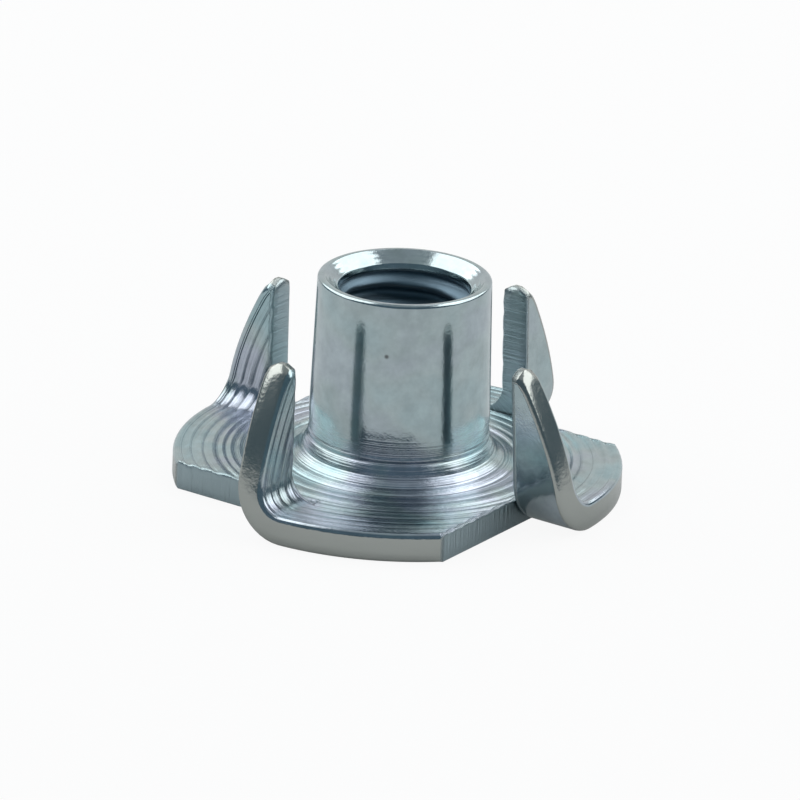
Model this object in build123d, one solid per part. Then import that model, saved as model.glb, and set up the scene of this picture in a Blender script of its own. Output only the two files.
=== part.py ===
from build123d import *
import os
from math import cos, pi, radians, sin, sqrt

os.makedirs("parts", exist_ok=True)

# A four-prong tee nut, pressed from one round blank of sheet steel.  It stands on its flange
# with the barrel up: Z is the screw's axis and Z = 0 is the underside of the flange.
# All sizes are in millimetres.

# Barrel: drawn up out of the blank with a slight taper, and tapped M6 inside.
HEIGHT = 9.1                  # underside of the flange to the rim
BARREL_TOP_DIAMETER = 7.3
BARREL_FOOT_DIAMETER = 7.65
BORE_DIAMETER = 5.0           # to the crests of the M6 thread, the bore's real wall
THROAT_DIAMETER = 5.46        # mouth of the barrel, inside its rounded lip
THROAT_DEPTH = 0.55           # rim to the start of the thread
LIP_RADIUS = 0.45             # rounding from the rim down into the mouth
RIM_RADIUS = 0.25             # rounding on the outside of the rim
ENTRY_RADIUS = 0.8            # rounding under the flange, where the metal was drawn in
FOOT_RADIUS = 1.2             # hollow where the barrel meets the flange

# Flange and prongs: each slit is parallel to an axis and frees a tab that is folded upright.
FLANGE_DIAMETER = 18.9
FLANGE_THICKNESS = 1.25
PRONG_COUNT = 4
SLIT_OFFSET = 6.85            # from the screw's axis to the line of a slit
SLIT_LEAD = 0.6               # how far a slit reaches back past the axis
SLIT_GAP = 0.1                # shearing clearance between a prong and the flange beside it
BEND_RADIUS = 1.05            # inside of the fold
PRONG_HEIGHT = 7.0            # underside of the flange to the tips
TIP_WIDTH = 0.4               # the blunt end of a prong
TIP_RADIUS = 0.15             # rounding on the corners of that end
FOLD_STEPS = 4                # cross-sections that carry a tab round its fold, less one

# Worked out from the sizes above.
FLANGE_RADIUS = FLANGE_DIAMETER / 2
FOLD_MIDDLE_RADIUS = BEND_RADIUS + FLANGE_THICKNESS / 2
FOLD_LENGTH = FOLD_MIDDLE_RADIUS * pi / 2
FOLD_TOP = FLANGE_THICKNESS + BEND_RADIUS
TAB_LENGTH = SLIT_LEAD + sqrt(FLANGE_RADIUS**2 - SLIT_OFFSET**2)


def tab_edge(along):
    """Distance from the slit's line to the round edge of the blank, that far along the slit."""
    return sqrt(FLANGE_RADIUS**2 - (along - SLIT_LEAD) ** 2) - SLIT_OFFSET


def turned_body():
    """The flange while it is still a whole disc, with its barrel and bore."""
    bore = BORE_DIAMETER / 2
    throat = THROAT_DIAMETER / 2
    throat_end = HEIGHT - THROAT_DEPTH
    corners = [
        (bore, 0),
        (FLANGE_RADIUS, 0),
        (FLANGE_RADIUS, FLANGE_THICKNESS),
        (BARREL_FOOT_DIAMETER / 2, FLANGE_THICKNESS),
        (BARREL_TOP_DIAMETER / 2, HEIGHT),
        (throat, HEIGHT),
        (throat, throat_end),
        (bore, throat_end - (throat - bore)),
    ]
    roundings = {0: ENTRY_RADIUS, 3: FOOT_RADIUS, 4: RIM_RADIUS, 5: LIP_RADIUS}
    profile = Sketch() + make_face(Polyline(*corners, close=True))
    for index, radius in roundings.items():
        corner = profile.vertices().sort_by_distance((*corners[index], 0))[0]
        profile = fillet(corner, radius)
    return revolve(Plane.XZ * profile, Axis.Z)


# A tab is built in its own frame: the inner end of its slit is the origin, X runs along the
# slit, Y runs outwards across the tab and Z is up.

def fold_section(step):
    """The tab's cross-section at one step of its quarter turn."""
    turn = step / FOLD_STEPS
    angle = turn * pi / 2
    outer = tab_edge(turn * FOLD_LENGTH)
    middle = (
        FOLD_MIDDLE_RADIUS * sin(angle),
        (SLIT_GAP + outer) / 2,
        FOLD_TOP - FOLD_MIDDLE_RADIUS * cos(angle),
    )
    face = Plane(origin=middle, x_dir=(0, 1, 0), z_dir=(cos(angle), 0, sin(angle)))
    return face * Rectangle(outer - SLIT_GAP, FLANGE_THICKNESS)


def upright_prong():
    """The straight part of a tab, above the fold: a fin with one straight and one round edge."""
    half_way = (FOLD_LENGTH + TAB_LENGTH) / 2
    base = (tab_edge(FOLD_LENGTH), FOLD_TOP)
    belly = (tab_edge(half_way), (FOLD_TOP + PRONG_HEIGHT) / 2)
    tip_outer = (SLIT_GAP + TIP_WIDTH, PRONG_HEIGHT)
    tip_inner = (SLIT_GAP, PRONG_HEIGHT)
    round_edge = ThreePointArc(base, belly, tip_outer)
    straight_edges = Polyline(tip_outer, tip_inner, (SLIT_GAP, FOLD_TOP), base)
    outline = Sketch() + make_face(round_edge.edges() + straight_edges.edges())
    for tip in (tip_inner, tip_outer):
        corner = outline.vertices().sort_by_distance((*tip, 0))[0]
        outline = fillet(corner, TIP_RADIUS)
    return extrude(Plane.YZ.offset(BEND_RADIUS) * outline, FLANGE_THICKNESS)


def folded_tab():
    """The fold and the prong that stands on it."""
    fold = loft([fold_section(step) for step in range(FOLD_STEPS + 1)])
    return fold + upright_prong()


def tab_window():
    """The room that a tab leaves in the disc once it is folded up."""
    height = 3 * FLANGE_THICKNESS
    return Box(FLANGE_DIAMETER, FLANGE_DIAMETER, height, align=(Align.MIN, Align.MIN, Align.CENTER))


def tab_places():
    """The slits' inner ends, turned round the axis, each with its X along the slit."""
    first = Pos(SLIT_LEAD, -SLIT_OFFSET, 0) * Rot(0, 0, 180)
    return [Rot(0, 0, 360 * k / PRONG_COUNT) * first for k in range(PRONG_COUNT)]


def tee_nut():
    """The whole nut: every tab is cut out of the disc, then put back folded."""
    nut = turned_body()
    for place in tab_places():
        nut = nut - place * tab_window()
    for place in tab_places():
        nut = nut + place * folded_tab()
    return nut


nut = tee_nut()
export_step(nut.solid(), "parts/tee_nut.step")
print("tee_nut volume", round(nut.volume, 2), "box", nut.bounding_box().size)
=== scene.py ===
# %% [markdown]
# # A zinc-plated tee nut
# A tee nut is pressed from one round blank of sheet steel. The press draws a barrel up out of its
# middle, taps it, slits the flange from its edge in four places and folds the four freed tabs
# upright. This lesson makes the nut in the same order: the flat blank, its slits, the fold, the
# barrel, and then the plating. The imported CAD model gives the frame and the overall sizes.

# %% Load the frame
import random
from math import atan2, cos, hypot, pi, radians, sin, sqrt

import bmesh
import bpy
from mathutils import Matrix, Vector, noise


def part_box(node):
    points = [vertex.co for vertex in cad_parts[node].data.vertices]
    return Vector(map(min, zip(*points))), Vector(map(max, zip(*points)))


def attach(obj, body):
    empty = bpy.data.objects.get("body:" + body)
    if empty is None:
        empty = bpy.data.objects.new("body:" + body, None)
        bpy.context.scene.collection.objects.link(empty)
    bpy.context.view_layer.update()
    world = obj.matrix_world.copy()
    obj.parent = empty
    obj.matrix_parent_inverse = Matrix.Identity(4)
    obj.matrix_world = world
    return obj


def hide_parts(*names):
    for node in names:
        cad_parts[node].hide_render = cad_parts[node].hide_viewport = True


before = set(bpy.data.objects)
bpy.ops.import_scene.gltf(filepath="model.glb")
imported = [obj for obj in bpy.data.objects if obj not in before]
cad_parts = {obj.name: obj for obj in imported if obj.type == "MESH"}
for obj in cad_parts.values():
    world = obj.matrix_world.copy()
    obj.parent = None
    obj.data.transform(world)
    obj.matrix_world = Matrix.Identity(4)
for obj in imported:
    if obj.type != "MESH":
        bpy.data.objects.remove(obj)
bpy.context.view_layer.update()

nut_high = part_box("tee_nut")[1]

# %% [markdown]
# ## Sizes
# The sheet is thin and its rings are finer still, so the shape is worked out in millimetres and
# turned into metres once, when the mesh is made. The flange's radius and the nut's height come
# from the CAD box. The rest repeats the sizes that the pressing is drawn with, and a size that
# only one step needs is given at that step.

# %% The sheet and the barrel's foot, in millimetres
MM = 0.001
FLANGE_RADIUS = nut_high.x / MM
HEIGHT = nut_high.z / MM
THICKNESS = 1.25
BARREL_FOOT_RADIUS = 3.825
FOOT_HOLLOW = 1.2
PRONG_COUNT = 4
print("flange radius", round(FLANGE_RADIUS, 3), "height", round(HEIGHT, 3))

# %% [markdown]
# ## The fold
# Bending a strip leaves the line through the middle of its thickness at its own length. So each
# point of the flat tab goes round a quarter circle of that middle radius, and what is past the
# fold runs straight up. The same rule carries a point that lies above or below the middle.
# Bending the flat blank's mesh this way keeps its rings in place on the prongs, as a press does,
# and a lattice or a bend modifier would stretch them.
#
# Two more things make a real prong of it. The punch draws the tab out a little, most of all near
# its tip. It also leaves the tip rounded across the sheet, so a point near the tip is set back by
# more, the nearer it lies to one of the sheet's faces.

# %% The slit, the fold and the length of a prong
SLIT_OFFSET = 6.85
SLIT_LEAD = 0.6
SLIT_GAP = 0.1
BEND_RADIUS = 1.05
PRONG_HEIGHT = 7.0
TIP_FLAT = 0.1
ROLL = 0.21
FOLD_MIDDLE = BEND_RADIUS + THICKNESS / 2
FOLD_LENGTH = FOLD_MIDDLE * pi / 2
FOLD_TOP = THICKNESS + BEND_RADIUS
TIP_ACROSS = SLIT_OFFSET + SLIT_GAP + ROLL + TIP_FLAT
TIP_CUT = SLIT_LEAD + sqrt((FLANGE_RADIUS - ROLL) ** 2 - TIP_ACROSS**2)
PAST_FOLD = TIP_CUT + ROLL - FOLD_LENGTH
DRAW = 1.116
TIP_DRAW = PRONG_HEIGHT - FOLD_TOP - DRAW * PAST_FOLD
print("the fold takes", round(FOLD_LENGTH, 3), "mm of the tab's", round(TIP_CUT + ROLL, 3), "mm")
print("the tip is drawn out by a further", round(TIP_DRAW, 3), "mm")

# %% Carry a point of the flat blank round its fold
TIP_ROUND = 0.32
TIP_ROUND_BEFORE = 0.5
TIP_ROUND_LENGTH = 0.7


def slit_frame(x, y):
    """Distance along the first slit from its inner end, and distance outwards from its line."""
    return SLIT_LEAD - y, x - SLIT_OFFSET


def folded(x, y, up, turn=pi / 2, lean=0.0):
    """Where a point of the first quarter goes, up millimetres from the sheet's middle."""
    along, across = slit_frame(x, y)
    if along <= 0 or across < SLIT_GAP / 2:
        return x, y, THICKNESS / 2 + up
    angle = min(along / FOLD_MIDDLE, turn)
    past = max(along - FOLD_MIDDLE * turn, 0)
    past_fold = past * DRAW + TIP_DRAW * (past / PAST_FOLD) ** 4
    tip_share = max(0, min(1, (along - TIP_CUT + TIP_ROUND_BEFORE) / TIP_ROUND_LENGTH))
    past_fold -= TIP_ROUND * (2 * up / THICKNESS * tip_share) ** 2
    forward = (FOLD_MIDDLE - up) * sin(angle) + past_fold * cos(turn)
    rise = THICKNESS / 2 + FOLD_MIDDLE - (FOLD_MIDDLE - up) * cos(angle) + past_fold * sin(turn)
    return x + lean * past, SLIT_LEAD - forward, rise


tip_place = folded(TIP_ACROSS, SLIT_LEAD - TIP_CUT - ROLL, 0)
print("the middle of the tip goes to", [round(value, 3) for value in tip_place])

# %% [markdown]
# ## The rings
# The die was turned on a lathe, and its tool marks print as rings on the side of the blank that
# it presses. They circle the screw's axis at uneven distances. A bump in the finish could draw
# them, but it would leave the mesh flat, so each ring is modelled as a shallow groove: rows of the
# mesh are placed where the grooves are, and only the finest lines are left to the finish. The
# first ring is a narrow groove where the barrel meets its foot.

# %% Radii, depths and widths of the pressed rings
RING_PITCH = 0.46
RING_GAPS = (0.8, 1.22)
RING_DEPTHS = (0.055, 0.09)
RING_SPREADS = (0.8, 1.2)
FOOT_OUTER = BARREL_FOOT_RADIUS + FOOT_HOLLOW
FOOT_LENGTH = FOOT_HOLLOW * pi / 2
BARREL_RING = (FOOT_OUTER - FOOT_LENGTH + 0.02, 0.06, 0.6)
FIRST_RING = FOOT_OUTER - FOOT_LENGTH + 0.3
LAST_RING = FLANGE_RADIUS - 0.3

random.seed(11)
rings = [BARREL_RING]
ring_radius = FIRST_RING
while ring_radius < LAST_RING:
    rings.append((ring_radius, random.uniform(*RING_DEPTHS), random.uniform(*RING_SPREADS)))
    ring_radius += RING_PITCH * random.uniform(*RING_GAPS)
print(len(rings), "rings")

# %% The height of the ringed face
RING_WIDTH = 0.12
RING_REACH = 4


def ring_relief(radius):
    """Height of the pressed face at a radius: a groove at each ring, and level between."""
    height = 0.0
    for ring, depth, spread in rings:
        offset = (radius - ring) / (RING_WIDTH * spread)
        if abs(offset) < RING_REACH:
            height -= depth / (1 + offset * offset) ** 2
    return height


print("the deepest ring is", round(-min(ring_relief(ring[0]) for ring in rings), 3), "mm deep")

# %% [markdown]
# ## One quarter of the flat blank
# The nut repeats four times round its axis, so one quarter is made and turned. A square grid would
# cut across the rings and make steps of them. A polar grid suits the blank, because its rows are
# circles too, and they can lie closer together where a ring is pressed.

# %% Rows of the quarter's grid
ROW_STEP = 0.09
LEAST_STEP = 0.02
RING_ROWS = (-1.5, -0.6, 0, 0.6, 1.5)


def flange_rows():
    """Radii of the grid's circles, closer together where a ring is pressed."""
    first, last = FOOT_OUTER, FLANGE_RADIUS - ROLL
    rows = [first, last]
    for ring, depth, spread in rings:
        rows += [ring + RING_WIDTH * spread * step for step in RING_ROWS]
    rows = sorted(row for row in rows if first <= row <= last)
    filled = [rows[0]]
    for row in rows[1:]:
        gap = row - filled[-1]
        if gap < LEAST_STEP and row != rows[-1]:
            continue
        if gap > 1.5 * ROW_STEP:
            steps = int(gap / ROW_STEP) + 1
            filled += [filled[-1] + gap * k / steps for k in range(1, steps)]
        filled.append(row)
    return filled


rows = flange_rows()
print(len(rows), "rows in each quarter")

# %% Columns of the quarter's grid
QUARTER = 2 * pi / PRONG_COUNT
QUARTER_START = radians(-64)
COLUMNS = 64


def column_angle(column):
    """Angle of a column round the whole nut, counted from the first quarter's start."""
    return QUARTER_START + QUARTER * column / COLUMNS


def polar_grid():
    """The quarter's grid in the plane, before anything is cut."""
    blank = bmesh.new()
    grid = []
    for row in rows:
        angles = [column_angle(column) for column in range(COLUMNS + 1)]
        grid.append([blank.verts.new((row * cos(a), row * sin(a), 0)) for a in angles])
    for inner, outer in zip(grid, grid[1:]):
        for k in range(COLUMNS):
            blank.faces.new((inner[k], outer[k], outer[k + 1], inner[k + 1]))
    return blank


blank = polar_grid()
print(COLUMNS, "columns make", len(blank.faces), "faces")

# %% [markdown]
# ## The slit and the tip
# The shear cuts a straight slit in from the blank's edge, and the tab beside it ends in a narrow
# tip. A Boolean would do this too, but it leaves long thin faces that shade badly on bright metal.
# Cutting the grid along straight planes and deleting what lies inside keeps the polar rows whole.
# The mesh stops a rolled edge's width short of every sheared edge, which leaves room to round the
# edges in the next step.

# %% Cut the grid along a plane, and delete what lies inside
def cut(blank, near, point, normal):
    """Cuts the faces that near() picks along a plane, and leaves both sides in place."""
    faces = [f for f in blank.faces if near(*slit_frame(*f.calc_center_median().xy))]
    edges = list({e for f in faces for e in f.edges})
    points = list({v for f in faces for v in f.verts})
    bmesh.ops.bisect_plane(blank, geom=faces + edges + points, dist=1e-5,
                           plane_co=point, plane_no=normal)


def drop(blank, inside):
    """Deletes the faces whose middle lies inside."""
    faces = [f for f in blank.faces if inside(*slit_frame(*f.calc_center_median().xy))]
    bmesh.ops.delete(blank, geom=faces, context="FACES")


print("made the helpers cut and drop")

# %% Cut the slit and the tip
SLIT_INNER = -ROLL
SLIT_OUTER = SLIT_GAP + ROLL
BEFORE_SLIT = 0.5
BESIDE_SLIT = 1.5
BESIDE_END = 1.0


def cut_slit_and_tip(blank):
    """Cuts the slit and the tip out of the quarter's grid."""
    near_slit = lambda along, across: along > -BEFORE_SLIT and abs(across) < BESIDE_SLIT
    cut(blank, near_slit, (SLIT_OFFSET + SLIT_INNER, 0, 0), (1, 0, 0))
    cut(blank, near_slit, (SLIT_OFFSET + SLIT_OUTER, 0, 0), (1, 0, 0))
    near_end = lambda along, across: abs(along) < BESIDE_END and abs(across) < BESIDE_END
    cut(blank, near_end, (0, SLIT_LEAD + ROLL, 0), (0, 1, 0))
    near_tip = lambda along, across: along > TIP_CUT - BESIDE_END and across > 0
    cut(blank, near_tip, (0, SLIT_LEAD - TIP_CUT, 0), (0, 1, 0))
    drop(blank, lambda along, across: along > -ROLL and SLIT_INNER < across < SLIT_OUTER)
    drop(blank, lambda along, across: along > TIP_CUT and across > 0)


cut_slit_and_tip(blank)
print("the cut quarter has", len(blank.faces), "faces")

# %% [markdown]
# ## Sheared edges
# A shear rolls the sheet's edge over where the blade goes in, cuts a plain band, and leaves a
# small burr where it comes out. A bevel modifier would give every edge the same round. The blank's
# round edge is well rolled and the slits' edges are crisp, so each kind has a profile of its own.
# A point on the edge of the grid is carried outwards along its profile: round the roll, down the
# band, round the burr's corner and back under the sheet. Both profiles have as many points, so
# they can meet at a corner.

# %% The profiles of the two kinds of edge
BURR = 0.17
SLIT_ROLL = 0.09
SLIT_BURR = 0.07
ROLL_STEPS = 6
SLIT_FLAT = 3
BURR_STEPS = 3


def edge_profile(roll, burr, flat_steps):
    """(distance outwards, height above the sheet's middle) from the top face to the underside."""
    top = THICKNESS / 2
    round_steps = ROLL_STEPS - flat_steps
    profile = [((ROLL - roll) * k / flat_steps, top) for k in range(1, flat_steps + 1)]
    for k in range(1, round_steps + 1):
        turn = pi / 2 * k / round_steps
        profile.append((ROLL - roll + roll * sin(turn), top - roll * (1 - cos(turn))))
    profile += [(ROLL, top - roll - (THICKNESS - roll - burr) * k / 3) for k in (1, 2)]
    for k in range(BURR_STEPS + 1):
        turn = pi / 2 * k / BURR_STEPS
        profile.append((ROLL - burr * (1 - cos(turn)), -top + burr * (1 - sin(turn))))
    return profile


ROUND_EDGE = edge_profile(ROLL, BURR, 0)
SLIT_EDGE = edge_profile(SLIT_ROLL, SLIT_BURR, SLIT_FLAT)
print("the profiles have", len(ROUND_EDGE), "and", len(SLIT_EDGE), "points")

# %% [markdown]
# ## The way out at an edge
# A point on one edge goes straight out from it. At a corner two edges meet, and the point has to
# keep its distance from both, or the band would fold over itself. Nudging such points by hand
# would have to be done again after every change of size. Both distances are known, so the place is
# where two lines cross, and a small sum gives it.

# %% The edges that a point lies on
NEAR = 2e-4


def ways_out(x, y):
    """(outward direction, 1 on a slit) of each sheared edge that a point of the grid lies on."""
    along, across = slit_frame(x, y)
    radius = hypot(x, y)
    beside = along > -ROLL - NEAR
    found = []
    if abs(radius - (FLANGE_RADIUS - ROLL)) < NEAR:
        found.append(((x / radius, y / radius), 0))
    if beside and abs(across - SLIT_INNER) < NEAR:
        found.append(((1, 0), 1))
    if beside and abs(across - SLIT_OUTER) < NEAR:
        found.append(((-1, 0), 1))
    if abs(along + ROLL) < NEAR and SLIT_INNER - NEAR < across < SLIT_OUTER + NEAR:
        found.append(((0, -1), 1))
    if abs(along - TIP_CUT) < NEAR and across > 0:
        found.append(((0, -1), 0))
    return found


corners = [v for v in blank.verts if len(ways_out(*v.co.xy)) > 1]
print(len(corners), "corners in the quarter's sheared edge")

# %% The places down an edge's profile
def edge_points(x, y, found):
    """(x, y, height) down the edge's profile. A corner keeps its distance from both edges."""
    (a, b), slit = found[0]
    (c, d), other = found[1] if len(found) > 1 else ((-b, a), None)
    points = []
    for k, (distance, up) in enumerate(SLIT_EDGE if slit else ROUND_EDGE):
        second = 0
        if other is not None:
            second, level = (SLIT_EDGE if other else ROUND_EDGE)[k]
            up = (up + level) / 2
        turn = a * d - b * c
        points.append((x + (distance * d - second * b) / turn,
                       y + (second * a - distance * c) / turn, up))
    return points


corner = corners[0].co.xy
print("a corner's profile has", len(edge_points(*corner, ways_out(*corner))), "points")

# %% [markdown]
# ## Numbers on the points
# The finish has to know what each part of the surface is: ringed face, sheared edge or bore.
# Painted masks would need an unwrapped mesh and an image. Six numbers are kept on the points
# instead: the radius on the blank, how much the point belongs to the ringed face, how much it is
# sheared steel, how much of that is a slit, how far along its edge it lies, and whether it is in
# the bore.

# %% Points that carry the finish's numbers
MARKS = ("blank_radius", "ringed", "sheared", "slit", "edge_run", "bored")


def new_nut():
    """An empty mesh whose points carry the finish's numbers."""
    nut = bmesh.new()
    for name in MARKS:
        nut.verts.layers.float.new(name)
    return nut


def add_point(nut, place, *marks):
    """One point of the nut with its numbers, in the order of MARKS."""
    point = nut.verts.new(place)
    for name, value in zip(MARKS, marks):
        point[nut.verts.layers.float[name]] = value
    return point


nut = new_nut()
print("each point carries", ", ".join(MARKS))

# %% [markdown]
# ## From the flat quarter to folded sheet
# The quarter's top face gets its rings, the underside is a plain copy, and the edge profile joins
# them. Every point is folded by the same rule. A slit's edge is torn a little unevenly along its
# length. A displace modifier would roughen the faces too, so a slow and a fast noise lower only
# the slit's own edge.

# %% A ragged slit, and a turn round the screw's axis
SLOW_WAVE = 0.035
SLOW_PER_MM = 4.0
FAST_WAVE = 0.03
FAST_PER_MM = 11.0


def burr_wave(run):
    """The ragged height of a slit's edge."""
    slow = noise.noise((run * SLOW_PER_MM, 3.7, 0))
    fast = noise.noise((run * FAST_PER_MM, 0.3, 5))
    return SLOW_WAVE * slow + FAST_WAVE * fast


def turned(place, angle):
    """A place turned round the screw's axis."""
    x, y, z = place
    return x * cos(angle) - y * sin(angle), x * sin(angle) + y * cos(angle), z


print("a slit's edge is", round(burr_wave(1.3), 4), "mm off level at 1.3 mm along")

# %% The points down one sheared edge
def add_edge(nut, x, y, found, angle, place):
    """Adds the points down the sheared edge from one point of the grid."""
    slit = sum(kind for way, kind in found) / len(found)
    along, across = slit_frame(x, y)
    run = along + across if slit else FLANGE_RADIUS * atan2(y, x)
    wave = min(0, slit * burr_wave(run + angle))
    flat = SLIT_FLAT * (slit == 1)
    points = []
    for k, (side_x, side_y, up) in enumerate(edge_points(x, y, found)):
        share = max(0, min(1, (k + 1 - flat) / (ROLL_STEPS - flat)))
        reach = hypot(side_x, side_y)
        level = up + (ring_relief(reach) * (1 - share) + wave * share if k < ROLL_STEPS else 0)
        sheared = 1 if k >= ROLL_STEPS - 1 else 0
        marks = (reach, 1 - share, sheared, slit, run)
        points.append(add_point(nut, place(side_x, side_y, level), *marks))
    return points


print("made the helper add_edge")

# %% One folded quarter
def join_edge(nut, blank, top, edge, under):
    """Adds the faces between the top face and the underside, all along the sheared edges."""
    for e in blank.edges:
        if len(e.link_loops) != 1:
            continue
        first = e.link_loops[0].vert
        second = e.other_vert(first)
        if first not in edge or second not in edge:
            continue
        near = [top[first], *edge[first], under[first]]
        far = [top[second], *edge[second], under[second]]
        for k in range(len(near) - 1):
            nut.faces.new((near[k], near[k + 1], far[k + 1], far[k]))


def add_quarter(nut, blank, angle, unevenness):
    """Adds one folded quarter: top, underside and sheared edges."""
    top, under, edge = {}, {}, {}
    turn, lean = pi / 2 + radians(unevenness[0]), unevenness[1]

    def place(x, y, up):
        return turned(folded(x, y, up, turn, lean), angle)

    for v in blank.verts:
        x, y = v.co.xy
        radius = hypot(x, y)
        top[v] = add_point(nut, place(x, y, THICKNESS / 2 + ring_relief(radius)), radius, 1)
        under[v] = add_point(nut, place(x, y, -THICKNESS / 2), radius)
        found = ways_out(x, y)
        if found:
            edge[v] = add_edge(nut, x, y, found, angle, place)
    for f in blank.faces:
        nut.faces.new([top[v] for v in f.verts])
        nut.faces.new([under[v] for v in reversed(f.verts)])
    join_edge(nut, blank, top, edge, under)


print("made the helper add_quarter")

# %% [markdown]
# ## Four prongs that aren't quite alike
# A press never folds four tabs to the same degree, and four equal prongs look like a drawing. An
# array of one quarter would make them equal. So each quarter is built with its own small error in
# the fold, in degrees, and its own sideways lean, in millimetres for each millimetre past the
# fold. The flange itself isn't moved, so the quarters still meet.

# %% Build the folded quarter and turn it four times
UNEVEN_FOLDS = ((-2.1, -0.055), (1.2, -0.022), (-0.6, 0.022), (0.1, 0.0))

for k, unevenness in enumerate(UNEVEN_FOLDS):
    add_quarter(nut, blank, QUARTER * k, unevenness)
blank.free()
print("the folded flange has", len(nut.faces), "faces")

# %% [markdown]
# ## The barrel
# The barrel is one outline turned round the axis, from the hollow at its foot, up the outside,
# over the rounded rim, down the mouth and the bore and out under the flange. The screw modifier
# could turn it, but the points have to carry the finish's numbers and share the flange's columns,
# so that the two meshes weld where they meet. So the outline is made of arcs and lines here.

# %% Arcs and lines of an outline
def arc(centre, radius, start, end, steps):
    """Points on an arc in the outline's plane, angles in degrees, ends included."""
    points = []
    for k in range(steps + 1):
        angle = radians(start + (end - start) * k / steps)
        points.append((centre[0] + radius * cos(angle), centre[1] + radius * sin(angle)))
    return points


def line(start, end, steps):
    """Points between two places, without the first."""
    return [tuple(a + (b - a) * k / steps for a, b in zip(start, end)) for k in range(1, steps + 1)]


print("an arc in six steps has", len(arc((0, 0), 1, 0, 90, 6)), "points")

# %% [markdown]
# ## The rim and the mouth
# The rim is a narrow round. A countersink opens the mouth below it into a shallow funnel and
# leaves faint turned marks. A plain cone would reflect as one flat band, so the funnel starts
# level with the rim, steepens quickly and then runs straight, with three low waves for the marks.

# %% The outline of the rim and the mouth
BARREL_TOP_RADIUS = 3.65
RIM_RADIUS = 0.14
RIM_STEPS = 6
MOUTH_RADIUS = 3.37
FUNNEL_RADIUS = 2.79
FUNNEL_DEPTH = 0.43
FUNNEL_EASE = 0.08
FUNNEL_STEPS = 21
TOOL_MARK = 0.012
TOOL_MARKS = 3


def rim_and_mouth():
    """(radius, height) over the rim and down to the foot of the funnel."""
    centre = (BARREL_TOP_RADIUS - RIM_RADIUS, HEIGHT - RIM_RADIUS)
    outline = arc(centre, RIM_RADIUS, 0, 90, RIM_STEPS)[1:]
    outline += line(outline[-1], (MOUTH_RADIUS, HEIGHT), 1)
    for k in range(1, FUNNEL_STEPS + 1):
        share = k / FUNNEL_STEPS
        ease = share * share / (share + FUNNEL_EASE) * (1 + FUNNEL_EASE)
        mark = TOOL_MARK * sin(TOOL_MARKS * pi * share) ** 2
        outline.append((MOUTH_RADIUS + (FUNNEL_RADIUS - MOUTH_RADIUS) * share,
                        HEIGHT - FUNNEL_DEPTH * ease - mark))
    return outline


print("the rim and the mouth have", len(rim_and_mouth()), "points")

# %% The whole outline
HOLLOW_STEPS = 46
WALL_STEPS = 8
THROAT_RADIUS = 2.73
THROAT_DEPTH = 0.66
THROAT_STEPS = 5
BORE_RADIUS = 2.5
THREAD_LEAD = 0.45
LEAD_STEPS = 4
PITCH = 1.0
ROWS_PER_TURN = 8
ENTRY_RADIUS = 0.8
ENTRY_STEPS = 8


def barrel_outline():
    """(radius, height) from the flange's face over the rim to the underside."""
    outline = arc((FOOT_OUTER, THICKNESS + FOOT_HOLLOW), FOOT_HOLLOW, 270, 180, HOLLOW_STEPS)
    outline += line(outline[-1], (BARREL_TOP_RADIUS, HEIGHT - RIM_RADIUS), WALL_STEPS)
    outline += rim_and_mouth()
    outline += line(outline[-1], (THROAT_RADIUS, HEIGHT - THROAT_DEPTH), THROAT_STEPS)
    outline += line(outline[-1], (BORE_RADIUS, HEIGHT - THROAT_DEPTH - THREAD_LEAD), LEAD_STEPS)
    turns = (outline[-1][1] - ENTRY_RADIUS) / PITCH
    outline += line(outline[-1], (BORE_RADIUS, ENTRY_RADIUS), round(turns * ROWS_PER_TURN))
    entry = (BORE_RADIUS + ENTRY_RADIUS, ENTRY_RADIUS)
    outline += arc(entry, ENTRY_RADIUS, 180, 270, ENTRY_STEPS)[1:]
    outline += line(outline[-1], (FOOT_OUTER, 0), 2)
    return outline


print("the barrel's outline has", len(barrel_outline()), "points")

# %% [markdown]
# ## The thread
# An M6 thread climbs one millimetre a turn. A swept helix would have to be cut out of the bore and
# joined at both ends. Here the depth of the cut at a point depends only on how far round and how
# far up the point is, so the helix comes from one formula, and it fades out at both ends.

# %% How deep the thread is cut
THREAD_DEPTH = 0.54
THREAD_TOP = HEIGHT - THROAT_DEPTH - 0.05
THREAD_END = ENTRY_RADIUS - 0.1
TOP_FADE = 0.35
END_FADE = 0.6
THREAD_CREST = 0.2
THREAD_FLANK = 0.62


def thread_cut(angle, height):
    """How deep the thread is cut at an angle round the bore and a height: right-handed."""
    fade = min(1, max(0, (THREAD_TOP - height) / TOP_FADE), max(0, (height - THREAD_END) / END_FADE))
    phase = (height / PITCH - angle / (2 * pi)) % 1
    flank = min(1, max(0, (abs(2 * phase - 1) - THREAD_CREST) / THREAD_FLANK))
    return THREAD_DEPTH * flank * fade


print("half a turn apart the cut is", [round(thread_cut(a, 4.0), 2) for a in (0, pi)], "mm deep")

# %% [markdown]
# ## The barrel joins the flange
# On the real nut the barrel and the flange are one sheet. Here the barrel's columns stand at the
# flange's own angles, so both have the same points where they meet, and those points are merged.
# The rings run on over the hollow at the foot, and are laid square to its surface.

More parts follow.
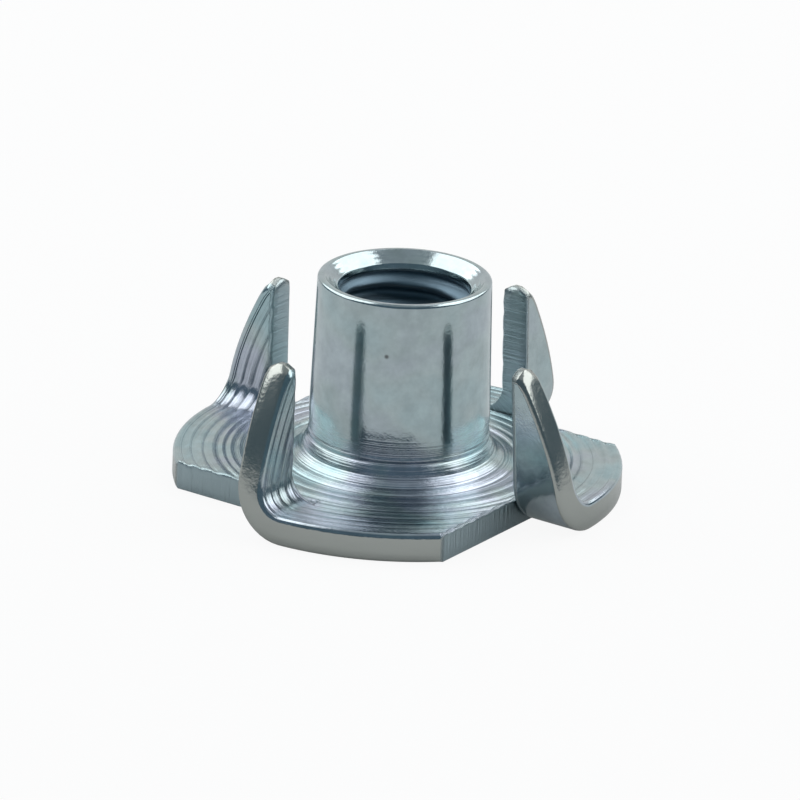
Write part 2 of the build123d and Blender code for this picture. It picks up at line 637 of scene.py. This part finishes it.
# %% Turn the outline
def barrel_point(nut, radius, height, angle):
    """One point of the barrel, with the rings on its foot and the thread in its bore."""
    in_bore = radius < THROAT_RADIUS - NEAR
    on_foot = height > THICKNESS / 2 and radius > BARREL_FOOT_RADIUS - NEAR
    blank_radius, reach, lift = radius, radius, height
    if on_foot:
        steep = atan2(FOOT_OUTER - radius, THICKNESS + FOOT_HOLLOW - height)
        blank_radius = FOOT_OUTER - FOOT_HOLLOW * steep
        reach += ring_relief(blank_radius) * sin(steep)
        lift += ring_relief(blank_radius) * cos(steep)
    if in_bore:
        reach += thread_cut(angle, height)
    place = (reach * cos(angle), reach * sin(angle), lift)
    return add_point(nut, place, blank_radius, int(on_foot), 0, 0, 0, int(in_bore))


def add_barrel(nut):
    """Adds the turned outline with its thread."""
    outline = barrel_outline()
    count = COLUMNS * PRONG_COUNT
    columns = []
    for column in range(count):
        angle = column_angle(column)
        columns.append([barrel_point(nut, radius, height, angle) for radius, height in outline])
    for column in range(count):
        here, there = columns[column], columns[(column + 1) % count]
        for k in range(len(outline) - 1):
            nut.faces.new((here[k], there[k], there[k + 1], here[k + 1]))


add_barrel(nut)
print("the flange and the barrel have", len(nut.faces), "faces")

# %% Weld them
WELD = 1e-3

bmesh.ops.remove_doubles(nut, verts=nut.verts[:], dist=WELD)
open_edges = sum(1 for e in nut.edges if len(e.link_faces) != 2)
print("the welded nut has", len(nut.faces), "faces and", open_edges, "open or crowded edges")

# %% [markdown]
# ## The mesh becomes an object
# The nut is one pressing, so it is one object. It rides on the frame's one body and stands for the
# CAD node. Scaling the object would leave a scale for every later step to reckon with, so the
# mesh itself is scaled to metres. Every face is shaded smooth, because the edges are already
# rounded in the mesh.

# %% Turn the mesh into an object in metres
bmesh.ops.scale(nut, vec=(MM, MM, MM), verts=nut.verts[:])
for f in nut.faces:
    f.smooth = True
mesh = bpy.data.meshes.new("pressed_nut")
nut.to_mesh(mesh)
nut.free()
pressed_nut = bpy.data.objects.new("pressed_nut", mesh)
bpy.context.scene.collection.objects.link(pressed_nut)
mesh.calc_loop_triangles()
print("pressed_nut:", len(mesh.loop_triangles), "triangles")
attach(pressed_nut, "root")
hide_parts("tee_nut")

# %% [markdown]
# ## Shader maths as plain expressions
# A finish mixes noises, masks and numbers, and a page of links is hard to read. This small class
# wraps one output of a node, and its operators add the Math nodes, so that a mask can be
# written as 1 - wear * 0.5. Every other node comes from one function, which takes the node's
# type, its settings and its inputs.

# %% One output of a node, with arithmetic
class Wire:
    """One output of a node in a material. Arithmetic on it adds Math nodes."""

    def __init__(self, tree, socket):
        self.tree = tree
        self.socket = socket

    def math(self, operation, first, second):
        return add_node(self.tree, "ShaderNodeMath", {"operation": operation}, {0: first, 1: second})

    def __add__(self, other):
        return self.math("ADD", self, other)

    __radd__ = __add__

    def __mul__(self, other):
        return self.math("MULTIPLY", self, other)

    __rmul__ = __mul__

    def __sub__(self, other):
        return self.math("SUBTRACT", self, other)

    def __rsub__(self, other):
        return self.math("SUBTRACT", other, self)


print("made Wire, which adds, multiplies and subtracts")

# %% Any other node
def set_stops(ramp, stops):
    """Gives a colour ramp its stops."""
    while len(ramp.elements) < len(stops):
        ramp.elements.new(0.5)
    for element, (position, colour) in zip(ramp.elements, stops):
        element.position = position
        element.color = colour


def add_node(tree, kind, settings=None, inputs=None, output=0):
    """Adds a node, its settings first, then its inputs as values or wires. Returns one output."""
    node = tree.nodes.new(kind)
    for name, value in (settings or {}).items():
        if name == "stops":
            set_stops(node.color_ramp, value)
        else:
            setattr(node, name, value)
    for key, value in (inputs or {}).items():
        if isinstance(value, Wire):
            tree.links.new(value.socket, node.inputs[key])
        else:
            node.inputs[key].default_value = value
    return Wire(tree, node.outputs[output]) if node.outputs else None


print("made the helper add_node")

# %% Blends of colours, smooth masks and materials
def mix_colour(tree, factor, first, second):
    """A blend of two colours, each a value or a wire."""
    return add_node(tree, "ShaderNodeMix", {"data_type": "RGBA"},
                    {"Factor": factor, 6: first, 7: second}, output=2)


def smooth(tree, value, start, end):
    """0 at the start, 1 at the end, and an even rise between."""
    return add_node(tree, "ShaderNodeMapRange", {"interpolation_type": "SMOOTHSTEP"},
                    {"Value": value, "From Min": start, "From Max": end})


def new_material(name):
    """An empty material."""
    material = bpy.data.materials.new(name)
    material.use_nodes = True
    material.node_tree.nodes.clear()
    return material


def close_material(material, shader):
    """Sends a shader to the material's output."""
    add_node(material.node_tree, "ShaderNodeOutputMaterial", None, {"Surface": shader})
    return material


print("made the helpers mix_colour, smooth, new_material and close_material")

# %% [markdown]
# ## Bright zinc plate
# Zinc plate is a thin metal coat with a clear bluish passivation over it. The coat is
# a smooth metal of middling brightness, slightly mottled, and the passivation tints it unevenly
# from teal to lavender. Sheared edges are coarser and warmer, and the slits' walls are streaked
# by the blade. The bore is duller than the rest, and its colour is painted darker as painted
# shade, standing in for the shade inside the deep threaded hole. A stack of shaders would be hard
# to judge, so all of it is one metallic shader: noises and the numbers on the points change its
# colour and roughness, and the finest ring lines and grain are a bump.

# %% Numbers, clouds and lines that change over the surface
def number(tree, name):
    """One of the numbers that the points carry."""
    return add_node(tree, "ShaderNodeAttribute", {"attribute_name": name}, None, output="Fac")


def own_place(tree):
    """The place on the nut, in metres from its origin."""
    return add_node(tree, "ShaderNodeTexCoord", None, None, output="Object")


def cloud(tree, scale, detail, roughness=0.55):
    """A noise in the nut's own space."""
    inputs = {"Vector": own_place(tree), "Scale": scale, "Detail": detail, "Roughness": roughness}
    return add_node(tree, "ShaderNodeTexNoise", None, inputs)


def ruled(tree, value, scale, roughness):
    """A noise along one number, which draws parallel lines."""
    return add_node(tree, "ShaderNodeTexNoise", {"noise_dimensions": "1D"},
                    {"W": value, "Scale": scale, "Detail": 3.0, "Roughness": roughness})


print("made the helpers number, own_place, cloud and ruled")

# %% The tinted and mottled plate
PLATE = (0.41, 0.48, 0.485, 1)
TEAL = (0.36, 0.48, 0.505, 1)
LAVENDER = (0.44, 0.475, 0.54, 1)
# The bore's colour is painted shade: the dark inside the deep threaded hole, painted into the plate.
PAINTED_BORE_SHADE = (0.17, 0.24, 0.29, 1)
TINT_SCALE = 330
TINT_SHARE = 0.35


def tinted_plate(tree, mottle):
    """The plate's colour, most tinted on the ringed face, with painted shade darkening the bore."""
    patches = add_node(tree, "ShaderNodeValToRGB",
                       {"stops": [(0.38, TEAL), (0.5, PLATE), (0.62, LAVENDER)]},
                       {"Fac": cloud(tree, TINT_SCALE, 2.0)})
    shade = add_node(tree, "ShaderNodeMapRange", None,
                     {"Value": mottle, "From Min": 0.3, "From Max": 0.7, "To Min": 0.86, "To Max": 1.08})
    share = TINT_SHARE + number(tree, "ringed") * (1 - TINT_SHARE)
    tint = mix_colour(tree, share, PLATE, patches)
    plated = add_node(tree, "ShaderNodeVectorMath", {"operation": "SCALE"},
                      {0: tint, "Scale": shade})
    # In the bore the plate's colour gives way to that painted shade.
    return mix_colour(tree, number(tree, "bored"), plated, PAINTED_BORE_SHADE)


print("the plate reflects", PLATE[:3], "and the bore", PAINTED_BORE_SHADE[:3])

# %% A speck of dirt
DIRT = (0.08, 0.08, 0.08, 1)
SPECK = (1.53 * MM, -3.37 * MM, 6.85 * MM)
SPECK_SIZE = 0.13 * MM
SPECK_CORE = 0.3


def with_speck(tree, plated):
    """The plate with its one dark speck on the barrel."""
    away = add_node(tree, "ShaderNodeVectorMath", {"operation": "DISTANCE"},
                    {0: own_place(tree), 1: SPECK}, output="Value")
    speck = smooth(tree, away, SPECK_SIZE, SPECK_CORE * SPECK_SIZE)
    return mix_colour(tree, speck * 0.8, plated, DIRT)


print("the speck sits", round(SPECK[2] / MM, 2), "mm above the underside")

# %% The whole finish
SHEAR = (0.37, 0.385, 0.36, 1)
SLIT = (0.33, 0.405, 0.425, 1)
MOTTLE_SCALE = 1500
GRAIN_SCALE = 9000
SHEAR_SCALE = 3200
LINES_PER_MM = 7.0
STREAKS_PER_MM = 6.0
BUMP_HEIGHT = 0.012 * MM


def zinc_plate():
    """The plated sheet's material."""
    material = new_material("bright_zinc_plate")
    tree = material.node_tree
    ringed, sheared = number(tree, "ringed"), number(tree, "sheared")
    slit, bored = number(tree, "slit"), number(tree, "bored")
    mottle = cloud(tree, MOTTLE_SCALE, 4.0, 0.65)
    grain = cloud(tree, GRAIN_SCALE, 2.0)
    lines = ruled(tree, number(tree, "blank_radius"), LINES_PER_MM, 0.75)
    streaks = ruled(tree, number(tree, "edge_run"), STREAKS_PER_MM, 0.7)
    plated = with_speck(tree, tinted_plate(tree, mottle))
    colour = mix_colour(tree, sheared, plated, mix_colour(tree, slit, SHEAR, SLIT))
    roughness = 0.10 + mottle * 0.08 + ringed * 0.05 + sheared * 0.06 + slit * 0.12 + bored * 0.4
    height = grain * 0.25 + mottle * 0.5 + ringed * lines * 2.2
    height = height + sheared * cloud(tree, SHEAR_SCALE, 3.0) + slit * streaks * 3.6
    bump = add_node(tree, "ShaderNodeBump", None,
                    {"Height": height, "Distance": BUMP_HEIGHT, "Strength": 1.0})
    shader = add_node(tree, "ShaderNodeBsdfPrincipled", None,
                      {"Base Color": colour, "Metallic": 1.0, "Roughness": roughness, "Normal": bump})
    return close_material(material, shader)


pressed_nut.data.materials.append(zinc_plate())
print("finish:", pressed_nut.data.materials[0].name)

# %% [markdown]
# ## The floor
# Small parts are shown on a white sweep. Turning the lamps up until the floor is white would burn
# out the metal. So the floor is mostly glow to the camera's own rays, and mostly paint to a
# reflection. What the camera sees of the paint takes the nut's soft shadow.

# %% The pale floor
FLOOR_SIZE = 3.0
FLOOR_PAINT = (0.66, 0.66, 0.66, 1)
WHITE = (1, 1, 1, 1)


def ray_kind(tree, name):
    """1 for the rays of the kind named, and 0 for all others."""
    return add_node(tree, "ShaderNodeLightPath", None, None, output=name)


def pale_floor():
    """A wide floor that shows white and keeps a soft shadow."""
    material = new_material("pale_floor")
    tree = material.node_tree
    reflected = ray_kind(tree, "Is Glossy Ray") + ray_kind(tree, "Is Transmission Ray")
    paint = add_node(tree, "ShaderNodeBsdfDiffuse", None, {"Color": FLOOR_PAINT})
    glow = add_node(tree, "ShaderNodeEmission", None, {"Color": WHITE, "Strength": 1.0})
    share = ray_kind(tree, "Is Camera Ray") * 0.92 + reflected * 0.14
    mixed = add_node(tree, "ShaderNodeMixShader", None, {0: share, 1: paint, 2: glow})
    close_material(material, mixed)
    bpy.ops.mesh.primitive_plane_add(size=FLOOR_SIZE)
    floor = bpy.context.object
    floor.name = "floor"
    floor.data.materials.append(material)
    return floor


print(pale_floor().name, "is", FLOOR_SIZE, "m wide")

# %% [markdown]
# ## The room
# Polished metal shows its surroundings, so the room matters as much as the lamps. The dark parts
# of the nut reflect a dim, bluish room in front, and the light parts of its faces reflect a pale
# wall behind and a grey ceiling. An HDRI would need an image file, and this room is three colours
# blended by direction in the world's nodes. The camera itself sees plain white.

# %% Directions in the room
CAMERA_AZIMUTH = 34.17


def toward(azimuth, elevation):
    """A direction, with azimuth counted from the camera's side of the room."""
    a, e = radians(CAMERA_AZIMUTH + azimuth), radians(elevation)
    return Vector((sin(a) * cos(e), -cos(a) * cos(e), sin(e)))


print("the camera's side of the room lies toward", [round(value, 3) for value in toward(0, 0)])

# %% The dim room, its wall and its ceiling
DIM = (0.115, 0.17, 0.21, 1)
WALL = (0.76, 0.78, 0.78, 1)
CEILING = (0.38, 0.43, 0.46, 1)


def room_light():
    """A dim room with a pale wall behind the nut and a grey ceiling."""
    world = bpy.data.worlds.new("studio")
    bpy.context.scene.world = world
    world.use_nodes = True
    tree = world.node_tree
    tree.nodes.clear()
    place = add_node(tree, "ShaderNodeTexCoord", None, None, output="Generated")
    up = add_node(tree, "ShaderNodeSeparateXYZ", None, {0: place}, output="Z")
    behind = add_node(tree, "ShaderNodeVectorMath", {"operation": "DOT_PRODUCT"},
                      {0: place, 1: toward(180, 0)}, output="Value")
    wall = smooth(tree, behind, 0.5, 0.85) * (1 - smooth(tree, up, 0.5, 0.95))
    room = mix_colour(tree, wall, DIM, WALL)
    room = mix_colour(tree, smooth(tree, up, 0.84, 0.96), room, CEILING)
    colour = mix_colour(tree, ray_kind(tree, "Is Camera Ray"), room, WHITE)
    glow = add_node(tree, "ShaderNodeBackground", None, {"Color": colour, "Strength": 1.0})
    add_node(tree, "ShaderNodeOutputWorld", None, {"Surface": glow})
    return world


print("the room is the world", room_light().name)

# %% [markdown]
# ## The lamps
# Two large soft boxes stand high on the left and the right, and their reflections are the long
# highlights. A small one stands behind. They are area lamps, because metal shows a lamp's own
# shape, and a point lamp would show as a dot. Each is given a brightness, and its power follows
# from its area, so that a lamp can change its size and keep its brightness.

# %% Three soft boxes
LAMP_DISTANCE = 0.3


def soft_lamp(name, azimuth, elevation, width, height, brightness):
    """A soft box that looks at the nut."""
    data = bpy.data.lights.new(name, "AREA")
    data.shape = "RECTANGLE"
    data.size = width
    data.size_y = height
    data.energy = brightness * pi * width * height
    lamp = bpy.data.objects.new(name, data)
    back = toward(azimuth, elevation)
    lamp.location = back * LAMP_DISTANCE
    lamp.rotation_mode = "QUATERNION"
    lamp.rotation_quaternion = back.to_track_quat("Z", "Y")
    bpy.context.scene.collection.objects.link(lamp)
    print(name, "gives", round(data.energy, 3), "W")


soft_lamp("left_lamp", -112, 47, 0.36, 0.26, 2.2)
soft_lamp("right_lamp", 106, 45, 0.37, 0.25, 2.2)
soft_lamp("back_lamp", 160, 52, 0.09, 0.09, 1.6)

# %% [markdown]
# ## The camera
# Small parts are shot from well back with a long lens, so that the near and the far prongs come
# out at nearly the same size. A camera close by would swell the near ones. This one is aimed a
# little under half way up the nut, is rolled by two degrees, and keeps everything sharp.

# %% The camera
CAMERA_ELEVATION = 21.17
CAMERA_DISTANCE = 0.3621
CAMERA_ROLL = 2.32
FOCAL_LENGTH = 387.4
AIM = Vector((0.0, 0.0, 0.00359))


def make_camera():
    """The camera, aimed a little under half way up the nut and rolled slightly."""
    data = bpy.data.cameras.new("camera")
    data.lens = FOCAL_LENGTH
    data.clip_start, data.clip_end = 0.01, 10
    camera = bpy.data.objects.new("camera", data)
    place = CAMERA_DISTANCE * toward(0, CAMERA_ELEVATION)
    aim = (place - AIM).to_track_quat("Z", "Y").to_matrix().to_4x4()
    roll = Matrix.Rotation(radians(CAMERA_ROLL), 4, "Z")
    camera.matrix_world = Matrix.Translation(place) @ aim @ roll
    bpy.context.scene.collection.objects.link(camera)
    bpy.context.scene.camera = camera
    return place


print("the camera stands at", [round(value, 4) for value in make_camera()])
bpy.context.scene.view_settings.view_transform = "Standard"
